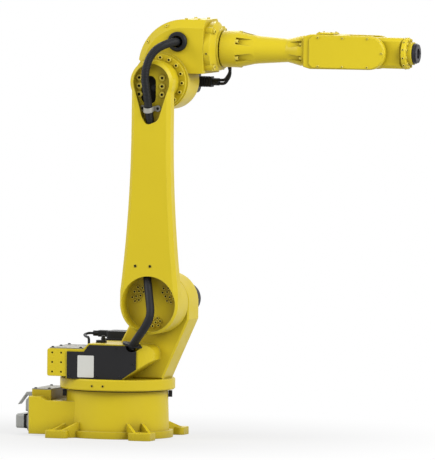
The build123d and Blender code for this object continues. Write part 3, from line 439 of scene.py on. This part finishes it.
def oval(half_width, half_height, count=40):
    angles = [math.tau * step / count for step in range(count)]
    return [(half_width * math.cos(angle), half_height * math.sin(angle)) for angle in angles]


def new_piece(name, shape, finish):
    """An object of its own from a finished bmesh, with its normals turned outwards."""
    bmesh.ops.recalc_face_normals(shape, faces=shape.faces)
    mesh = bpy.data.meshes.new(name)
    shape.to_mesh(mesh)
    shape.free()
    mesh.materials.append(finish)
    piece = bpy.data.objects.new(name, mesh)
    scene.collection.objects.link(piece)
    return piece


def join_rings(shape, first, second):
    """Faces between two rings with the same number of points."""
    for step in range(len(first)):
        after = (step + 1) % len(first)
        shape.faces.new((first[step], first[after], second[after], second[step]))


def slab(name, body, outline, seat, across, rise, thickness, finish, edge=0.0):
    """A plate with an outline in the plane of two directions, standing up from its seat."""
    across, rise = Vector(across).normalized(), Vector(rise).normalized()
    out = across.cross(rise)
    shape = bmesh.new()
    ring = [shape.verts.new(Vector(seat) + across * a + rise * b) for a, b in outline]
    grown_up = bmesh.ops.extrude_face_region(shape, geom=[shape.faces.new(ring)])
    top = [item for item in grown_up["geom"] if isinstance(item, bmesh.types.BMVert)]
    bmesh.ops.translate(shape, verts=top, vec=out * thickness)
    shape.faces.ensure_lookup_table()
    if len(shape.faces) == len(outline) + 1:
        shape.faces.new(ring)
    if edge:
        upper = set(top)
        edges = [line for line in shape.edges if set(line.verts) <= upper]
        bmesh.ops.bevel(shape, geom=edges, offset=edge, segments=2, profile=0.5, affect="EDGES")
    piece = new_piece(name, shape, finish)
    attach(piece, body)
    return piece


def turned(name, body, profile, centre, axis, finish, segments=56):
    """A round piece turned about an axis from (distance, radius) points, closed at both ends."""
    spin = Vector((0, 0, 1)).rotation_difference(Vector(axis).normalized())
    shape = bmesh.new()
    rings = []
    for distance, radius in profile:
        ring = []
        for step in range(segments):
            angle = math.tau * step / segments
            place = Vector((radius * math.cos(angle), radius * math.sin(angle), distance))
            ring.append(shape.verts.new(Vector(centre) + spin @ place))
        rings.append(ring)
    for lower, upper in zip(rings, rings[1:]):
        join_rings(shape, lower, upper)
    shape.faces.new(rings[0])
    shape.faces.new(rings[-1])
    piece = new_piece(name, shape, finish)
    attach(piece, body)
    return piece


# Bolts and screws on the castings

near_side = (0, -1, 0)
far_side = (0, 1, 0)
upward = (0, 0, 1)
forward = (1, 0, 0)
rearward = (-1, 0, 0)
shoulder = Vector((0.201, 0, 0.540))
elbow = Vector((0.201, 0, 1.415))
roll_z = 1.545
wrist_x = 1.046
arm_near_y = -0.240
pocket_floor_y = -0.212
recess_floor_y = -0.170
cable_cover_y = -0.205
wrist_cover_y = 0.076
rim_radius = 0.228

# Head radius and height, chamfer of the rim, pit radius and depth
head_sizes = {
    "pocket_bolts": (0.0122, 0.008, 0.0015, 0.0062, 0.006),
    "recess_bolts": (0.0066, 0.006, 0.0009, 0.0042, 0.004),
    "arm_plugs": (0.0068, 0.0012, 0.0005, 0.0058, 0.001),
    "elbow_ring_bolts": (0.0085, 0.006, 0.001, 0.0054, 0.0045),
    "casing_screws": (0.0065, 0.005, 0.001, 0.0034, 0.003),
    "nose_lug_bolts": (0.0095, 0.009, 0.0012, 0.0052, 0.006),
    "nose_plug": (0.0055, 0.0015, 0.0008, 0.0038, 0.001),
    "elbow_motor_bolts": (0.004, 0.005, 0.0006, 0.0022, 0.003),
    "rear_flange_bolts": (0.0082, 0.011, 0.0012, 0.0045, 0.006),
    "front_flange_bolts": (0.006, 0.009, 0.001, 0.0033, 0.005),
    "wrist_cover_screws": (0.005, 0.0032, 0.0012, 0.0026, 0.0022),
    "top_cover_screws": (0.0042, 0.0028, 0.001, 0.0022, 0.002),
    "wrist_ring_bolts": (0.0052, 0.005, 0.0008, 0.0029, 0.0035),
    "wrist_rim_screws": (0.0045, 0.002, 0.0008, 0.003, 0.0018),
    "junction_lid_screws": (0.0058, 0.0042, 0.0014, 0.003, 0.003),
    "shoulder_groove_bolts": (0.004, 0.0035, 0.0006, 0.0022, 0.002),
    "rim_plugs": (0.0058, 0.0014, 0.0006, 0.0044, 0.0011),
    "cable_cover_screws": (0.0042, 0.0026, 0.001, 0.0022, 0.002),
    "turntable_motor_bolts": (0.004, 0.005, 0.0006, 0.0022, 0.003),
    "shoulder_motor_bolts": (0.0055, 0.006, 0.0008, 0.003, 0.004),
    "connector_lid_screws": (0.0055, 0.004, 0.0014, 0.0028, 0.003),
    "connector_plate_screws": (0.0055, 0.004, 0.0012, 0.003, 0.003),
    "saddle_screws": (0.0054, 0.0065, 0.001, 0.003, 0.004),
}


def around_swing(axis, radius, degrees, y):
    """A point at a radius and angle about an axis across the arm, at some y."""
    angle = math.radians(degrees)
    return (axis.x + radius * math.cos(angle), y, axis.z + radius * math.sin(angle))


def around_roll(x, radius, degrees):
    """A point on a circle about the forearm's axis, counted from the top to the near side."""
    angle = math.radians(degrees)
    return (x, -radius * math.sin(angle), roll_z + radius * math.cos(angle))


def outward(degrees):
    """The way straight out from the forearm's axis at that angle."""
    angle = math.radians(degrees)
    return (0, -math.sin(angle), math.cos(angle))


def place_arm_bolts():
    pocket = [((x, pocket_floor_y, z), near_side) for x in (0.147, 0.242) for z in (1.433, 1.400, 1.367)]
    bolts("pocket_bolts", "lower_arm", pocket, bolt_paint)
    # Radius in mm and degrees from the middle of a cluster of bolts
    cluster = [(60, -18), (60, 0), (60, 18), (75, -24), (75, -9), (75, 9), (75, 24), (89, -15), (89, 0),
               (89, 15)]
    recess = []
    for heading in (30, 150, 270):
        for radius, offset in cluster:
            seat = around_swing(shoulder, radius / 1000, heading + offset, recess_floor_y)
            recess.append((seat, near_side))
    bolts("recess_bolts", "lower_arm", recess, bolt_paint)
    plugs = [((x, arm_near_y, 0.690), near_side) for x in (0.147, 0.208)]
    bolts("arm_plugs", "lower_arm", plugs, yellow_paint)


def place_elbow_bolts():
    ring = [(around_swing(elbow, 0.095, 22.5 * step - 2.5, -0.130), near_side) for step in range(16)]
    bolts("elbow_ring_bolts", "elbow", ring, bolt_paint)
    barrel_x, barrel_z, chamfer_radius = 0.283, 1.4724, 0.1716
    strip = []
    for side in (-1, 1):
        for degrees in (112, 146):
            angle = math.radians(degrees)
            seat = (barrel_x + chamfer_radius * math.cos(angle), side * 0.089,
                    barrel_z + chamfer_radius * math.sin(angle))
            facing = Vector((math.cos(angle), side, math.sin(angle))).normalized()
            strip.append((seat, facing))
        strip += [((x, side * 0.060, 1.660), upward) for x in (0.288, 0.341)]
    bolts("casing_screws", "elbow", strip, bolt_paint)
    lugs = [(around_roll(0.403, 0.099, 45 + 90 * step), forward) for step in range(4)]
    bolts("nose_lug_bolts", "elbow", lugs, bolt_paint)
    plug_turn = 99.5
    plug = [(around_roll(0.386, 0.1058, plug_turn), outward(plug_turn))]
    bolts("nose_plug", "elbow", plug, yellow_paint)
    half_pitch = 0.0555
    motor = [((elbow.x + across * half_pitch, 0.119, elbow.z + rise * half_pitch), far_side)
             for across in (-1, 1) for rise in (-1, 1)]
    bolts("elbow_motor_bolts", "elbow", motor, black_bolt)


def place_forearm_bolts():
    turns = [60 * step for step in range(6)]
    rear = [(around_roll(0.492, 0.0645, turn), forward) for turn in turns]
    bolts("rear_flange_bolts", "forearm", rear, bolt_paint)
    front = [(around_roll(0.762, 0.0543, turn), rearward) for turn in turns]
    bolts("front_flange_bolts", "forearm", front, bolt_paint)
    covers = []
    for side, facing in ((-wrist_cover_y, near_side), (wrist_cover_y, far_side)):
        covers += [((x, side, roll_z + rise), facing)
                   for x in (0.838, 0.939, 1.042) for rise in (-0.0565, 0.0565)]
        covers.append(((wrist_x + 0.0545, side, roll_z), facing))
    bolts("wrist_cover_screws", "forearm", covers, bolt_paint)
    top = [((x, y, 1.620), upward) for x in (0.830, 0.880) for y in (-0.030, 0.030)]
    bolts("top_cover_screws", "forearm", top, yellow_paint)


def place_wrist_bolts():
    turns = [15 + 30 * step for step in range(12)]
    face = [(around_roll(1.194, 0.0535, turn), forward) for turn in turns]
    bolts("wrist_ring_bolts", "wrist", face, bolt_paint)
    rim = [(around_roll(1.183, 0.0618, turn), outward(turn)) for turn in turns]
    bolts("wrist_rim_screws", "wrist", rim, bolt_paint)


def place_turret_screws():
    lid = [((x, y, 0.356), upward) for x in (-0.210, -0.094) for y in (-0.185, -0.083, 0.019)]
    bolts("junction_lid_screws", "turret", lid, black_bolt)
    groove = []
    for step in range(30):
        angle = math.radians(12 * step)
        groove.append((around_swing(shoulder, 0.108, 12 * step, -0.089),
                       Vector((math.cos(angle), 0, math.sin(angle)))))
    bolts("shoulder_groove_bolts", "turret", groove, black_bolt)
    rim = []
    for x in (-0.032, 0.0135):
        y = -math.sqrt(rim_radius ** 2 - x ** 2)
        rim.append(((x, y * 0.9995, 0.2095), Vector((x, y, 0)).normalized()))
    bolts("rim_plugs", "turret", rim, yellow_paint)
    cover = [((x, cable_cover_y, z), near_side) for x, z in
             ((-0.135, 0.247), (-0.135, 0.334), (-0.058, 0.360), (0.060, 0.360), (0.130, 0.360),
              (0.130, 0.300), (0.075, 0.247), (-0.020, 0.247))]
    bolts("cable_cover_screws", "turret", cover, black_bolt)
    half_pitch = 0.0575
    motor = [((-0.022 + across * half_pitch, 0.118 + rise * half_pitch, 0.251), upward)
             for across in (-1, 1) for rise in (-1, 1)]
    bolts("turntable_motor_bolts", "turret", motor, black_bolt)
    flange = [(around_swing(shoulder, 0.069, 30 + 60 * step, 0.064), far_side) for step in range(6)]
    bolts("shoulder_motor_bolts", "turret", flange, black_bolt)


def place_base_screws():
    lid = [((x, y, 0.185), upward) for x in (-0.309, -0.252) for y in (-0.099, 0.099)]
    bolts("connector_lid_screws", "base", lid, black_bolt)
    plate = [((-0.324, y, z), rearward) for y in (-0.139, 0.139) for z in (0.027, 0.085, 0.143)]
    bolts("connector_plate_screws", "base", plate, black_bolt)


place_arm_bolts()
place_elbow_bolts()
place_forearm_bolts()
place_wrist_bolts()
place_turret_screws()
place_base_screws()


# Hoses across the shoulder and the elbow

hose_radius = 0.0165
lower_hose = hose(
    "shoulder_hose",
    [(0.080, -0.130, 0.331), (0.155, -0.240, 0.400), (0.204, -0.268, 0.456), (0.224, -0.270, 0.502),
     (0.210, -0.246, 0.556), (0.194, -0.217, 0.606), (0.184, -0.203, 0.652)],
    hose_radius, 0.012, 0.0002, black_rubber)
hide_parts("lower_hose")
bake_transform(lower_hose)

upper_hose = hose(
    "elbow_hose",
    [(0.193, -0.206, 1.234), (0.194, -0.236, 1.306), (0.189, -0.243, 1.364), (0.182, -0.266, 1.450),
     (0.209, -0.256, 1.537), (0.255, -0.178, 1.573), (0.266, -0.092, 1.573)],
    hose_radius, 0.006, 0.0009, black_rubber)
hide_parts("upper_hose")
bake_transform(upper_hose)


# Saddle clamp over the upper hose, and a dark sheet of painted shade in the slot behind it

clamp_z = 1.312
ear_places = (0.1605, 0.2245)
ear_seat_y = -0.2125


def saddle_line():
    """Middle line of the strap, from foot to foot over the hose."""
    middle_x, middle_y, lift, foot_y, sag = 0.1935, -0.2355, 0.0192, -0.2145, 0.009
    line = [(0.1735, foot_y, clamp_z)]
    for step in range(13):
        angle = math.radians(180 + 15 * step)
        line.append((middle_x + lift * math.cos(angle), middle_y + lift * math.sin(angle),
                     clamp_z + sag * math.sin(angle)))
    line.append((0.2135, foot_y, clamp_z))
    return line


def build_saddle():
    """A bent strap over the hose with a round ear at each end."""
    half_wall, half_height = 0.0022, 0.0095
    ear_front_y, ear_radius, hole_radius, ear_points = -0.2170, 0.0125, 0.0058, 32
    line = saddle_line()
    shape = bmesh.new()
    sections = []
    for index, (x, y, z) in enumerate(line):
        before, after = line[max(index - 1, 0)], line[min(index + 1, len(line) - 1)]
        run = Vector((after[0] - before[0], after[1] - before[1])).normalized()
        side = Vector((run.y, -run.x)) * half_wall
        sections.append([shape.verts.new((x + side.x * s, y + side.y * s, z + half_height * r))
                         for s, r in ((1, -1), (1, 1), (-1, 1), (-1, -1))])
    for first, second in zip(sections, sections[1:]):
        join_rings(shape, first, second)
    shape.faces.new(sections[0])
    shape.faces.new(sections[-1])
    for ear_x in ear_places:
        rings = []
        for radius, y in ((ear_radius, ear_seat_y), (ear_radius, ear_front_y),
                          (hole_radius, ear_front_y), (hole_radius, ear_seat_y)):
            rings.append([shape.verts.new((ear_x + x, y, clamp_z + z))
                          for x, z in oval(radius, radius, ear_points)])
        for first, second in zip(rings, rings[1:] + rings[:1]):
            join_rings(shape, first, second)
    saddle = new_piece("hose_saddle", shape, clamp_metal)
    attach(saddle, "lower_arm")
    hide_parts("hose_clamp")


build_saddle()
bolts("saddle_screws", "lower_arm", [((x, ear_seat_y, clamp_z), near_side) for x in ear_places], black_bolt)
# A near-black sheet in the slot behind the clamp: painted shade.
slab("slot_lining", "lower_arm", rounded(0.066, 0.109, 0.0235), (0.181, -0.190, 1.385), forward, upward,
     0.0015, dark_hollow)
turned("slot_plug", "lower_arm",
       [(0.0, 0.014), (0.006, 0.014), (0.007, 0.013), (0.007, 0.008), (0.012, 0.008), (0.013, 0.007)],
       (0.204, -0.1915, 1.392), near_side, black_plug, 32)

# The round lower lip of the pocket, where the hose runs down into the arm
lip_outline = [(0.169, 1.228), (0.214, 1.228), (0.214, 1.256), (0.208, 1.254), (0.2025, 1.2515),
               (0.196, 1.2497), (0.1895, 1.2497), (0.1835, 1.252), (0.1785, 1.2565), (0.1745, 1.2625),
               (0.1715, 1.269), (0.169, 1.269)]
slab("pocket_lip", "lower_arm", lip_outline, (0, -0.214, 0), forward, upward, 0.02625, lip_paint)


# Cable box: boot of the lower hose, bare plate, small connector

boot = slab("hose_boot", "turret", oval(0.043, 0.026), (0.124, -0.189, 0.371), (0.98, 0, -0.2),
            (0.05, 1, 0.12), 0.008, black_rubber, 0.002)
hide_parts("hose_gland")
slab("bare_plate", "turret", rounded(0.068, 0.087, 0.004), (-0.066, cable_cover_y, 0.2845), forward, upward,
     0.0012, bare_plate, 0.0004)
slab("box_connector", "turret", rounded(0.038, 0.026, 0.004), (-0.030, -0.120, 0.375), forward, far_side,
     0.011, black_plug, 0.002)
turned("box_connector_nut", "turret",
       [(0.0, 0.009), (0.010, 0.009), (0.012, 0.007), (0.018, 0.007), (0.019, 0.006)],
       (-0.022, -0.120, 0.385), upward, black_plug, 24)


# Shoulder motor

def build_shoulder_motor():
    """A motor with its flange, ribs round the body and a plain cap."""
    flange_radius, core_radius, rib_radius, cap_radius = 0.078, 0.058, 0.062, 0.063
    first_rib, rib_pitch, rib_width = 0.020, 0.0125, 0.0075
    profile = [(0.0, flange_radius), (0.014, flange_radius), (0.014, core_radius)]
    for rib in range(10):
        start = first_rib + rib_pitch * rib
        profile += [(start, core_radius), (start, rib_radius), (start + rib_width, rib_radius),
                    (start + rib_width, core_radius)]
    profile += [(0.148, core_radius), (0.148, cap_radius), (0.190, cap_radius), (0.195, core_radius)]
    motor = turned("ribbed_shoulder_motor", "turret", profile, (0.201, 0.050, 0.540), far_side, black_motor,
                   64)
    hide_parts("shoulder_motor")


build_shoulder_motor()


# Gaskets of the connectors

connector_y = -0.042
for name, bottom in (("lower_gasket", 0.025), ("upper_gasket", 0.0885)):
    slab(name, "base", rounded(0.124, 0.0595, 0.009), (-0.3235, connector_y, bottom + 0.02825), near_side,
         upward, 0.004, black_rubber)
slab("cap_gasket", "base", rounded(0.123, 0.0585, 0.009), (-0.348, connector_y, 0.05325), near_side, upward,
     0.004, black_rubber)


# Floor, light and camera

def ray_share(tree):
    """1 for the rays that see plain white: camera, mirror and glass rays."""
    path = add(tree, "ShaderNodeLightPath").outputs
    seen = math_node(tree, "MAXIMUM", path["Is Camera Ray"], path["Is Glossy Ray"])
    return math_node(tree, "MAXIMUM", seen, path["Is Transmission Ray"])


def build_floor():
    """A pale floor that keeps the shadow near the robot and is plain white further out."""
    half = 60.0
    mesh = bpy.data.meshes.new("studio_floor")
    corners = [(-half, -half, 0), (half, -half, 0), (half, half, 0), (-half, half, 0)]
    mesh.from_pydata(corners, [], [(0, 1, 2, 3)])
    floor = bpy.data.objects.new("studio_floor", mesh)
    scene.collection.objects.link(floor)
    material = bpy.data.materials.new("studio_floor")
    material.use_nodes = True
    tree = material.node_tree
    shader = tree.nodes["Principled BSDF"]
    shader.inputs["Base Color"].default_value = tone("C2C2C2")
    shader.inputs["Roughness"].default_value = 0.9
    shader.inputs["Specular IOR Level"].default_value = 0.1
    place = add(tree, "ShaderNodeTexCoord").outputs["Object"]
    away = feed(tree, add(tree, "ShaderNodeVectorMath", operation="LENGTH"), n0=place)
    clearing = feed(tree, add(tree, "ShaderNodeMapRange", interpolation_type="SMOOTHSTEP"),
                    Value=away.outputs["Value"], From_Min=0.3, From_Max=1.6, To_Min=0.72, To_Max=1.0)
    white = add(tree, "ShaderNodeEmission")
    mixed = add(tree, "ShaderNodeMixShader")
    share = math_node(tree, "MULTIPLY", ray_share(tree), clearing.outputs["Result"])
    feed(tree, mixed, n0=share, n1=shader.outputs["BSDF"], n2=white.outputs["Emission"])
    feed(tree, tree.nodes["Material Output"], Surface=mixed.outputs["Shader"])
    mesh.materials.append(material)


def build_world():
    """Even light from all round, plain white where it is seen or mirrored."""
    world = bpy.data.worlds.new("studio_world")
    scene.world = world
    world.use_nodes = True
    tree = world.node_tree
    lit = tree.nodes["Background"]
    lit.inputs["Color"].default_value = (1, 1, 1, 1)
    lit.inputs["Strength"].default_value = 0.42
    white = feed(tree, add(tree, "ShaderNodeBackground"), Color=(1, 1, 1, 1))
    mixed = add(tree, "ShaderNodeMixShader")
    feed(tree, mixed, n0=ray_share(tree), n1=lit.outputs["Background"], n2=white.outputs["Background"])
    feed(tree, tree.nodes["World Output"], Surface=mixed.outputs["Shader"])


def aim(thing, place, target, roll=0.0):
    """Stand a lamp or camera at a place with its view towards the target, rolled by some degrees."""
    thing.location = place
    view = (Vector(target) - Vector(place)).to_track_quat("-Z", "Y")
    thing.rotation_euler = (view @ Quaternion((0, 0, 1), math.radians(roll))).to_euler()


def soft_lamp(name, place, target, width, power):
    lamp = bpy.data.lights.new(name, "AREA")
    lamp.size = width
    lamp.energy = power
    holder = bpy.data.objects.new(name, lamp)
    scene.collection.objects.link(holder)
    aim(holder, place, target)


def build_camera(target, azimuth, elevation, roll, distance, seen_height):
    camera = bpy.data.cameras.new("photo_camera")
    camera.sensor_fit = "VERTICAL"
    camera.sensor_height = 36.0
    camera.lens = camera.sensor_height * distance / seen_height
    camera.clip_end = 200.0
    holder = bpy.data.objects.new("photo_camera", camera)
    scene.collection.objects.link(holder)
    turn, rise = math.radians(azimuth), math.radians(elevation)
    back = Vector((math.sin(turn) * math.cos(rise), -math.cos(turn) * math.cos(rise), math.sin(rise)))
    aim(holder, Vector(target) + distance * back, target, roll)
    scene.camera = holder


build_floor()
build_world()
middle_of_arm = (0.4, 0.0, 0.85)
soft_lamp("right_lamp", (5.2, -2.6, 4.2), middle_of_arm, 3.2, 285.0)
soft_lamp("left_lamp", (-4.8, -3.4, 4.0), middle_of_arm, 3.4, 215.0)
soft_lamp("back_lamp", (-2.0, 5.0, 4.4), middle_of_arm, 3.2, 110.0)
build_camera((0.408, 0.0, 0.828), 18.0, 3.1, 0.7, 60.0, 1.817)
scene.view_settings.view_transform = "Standard"
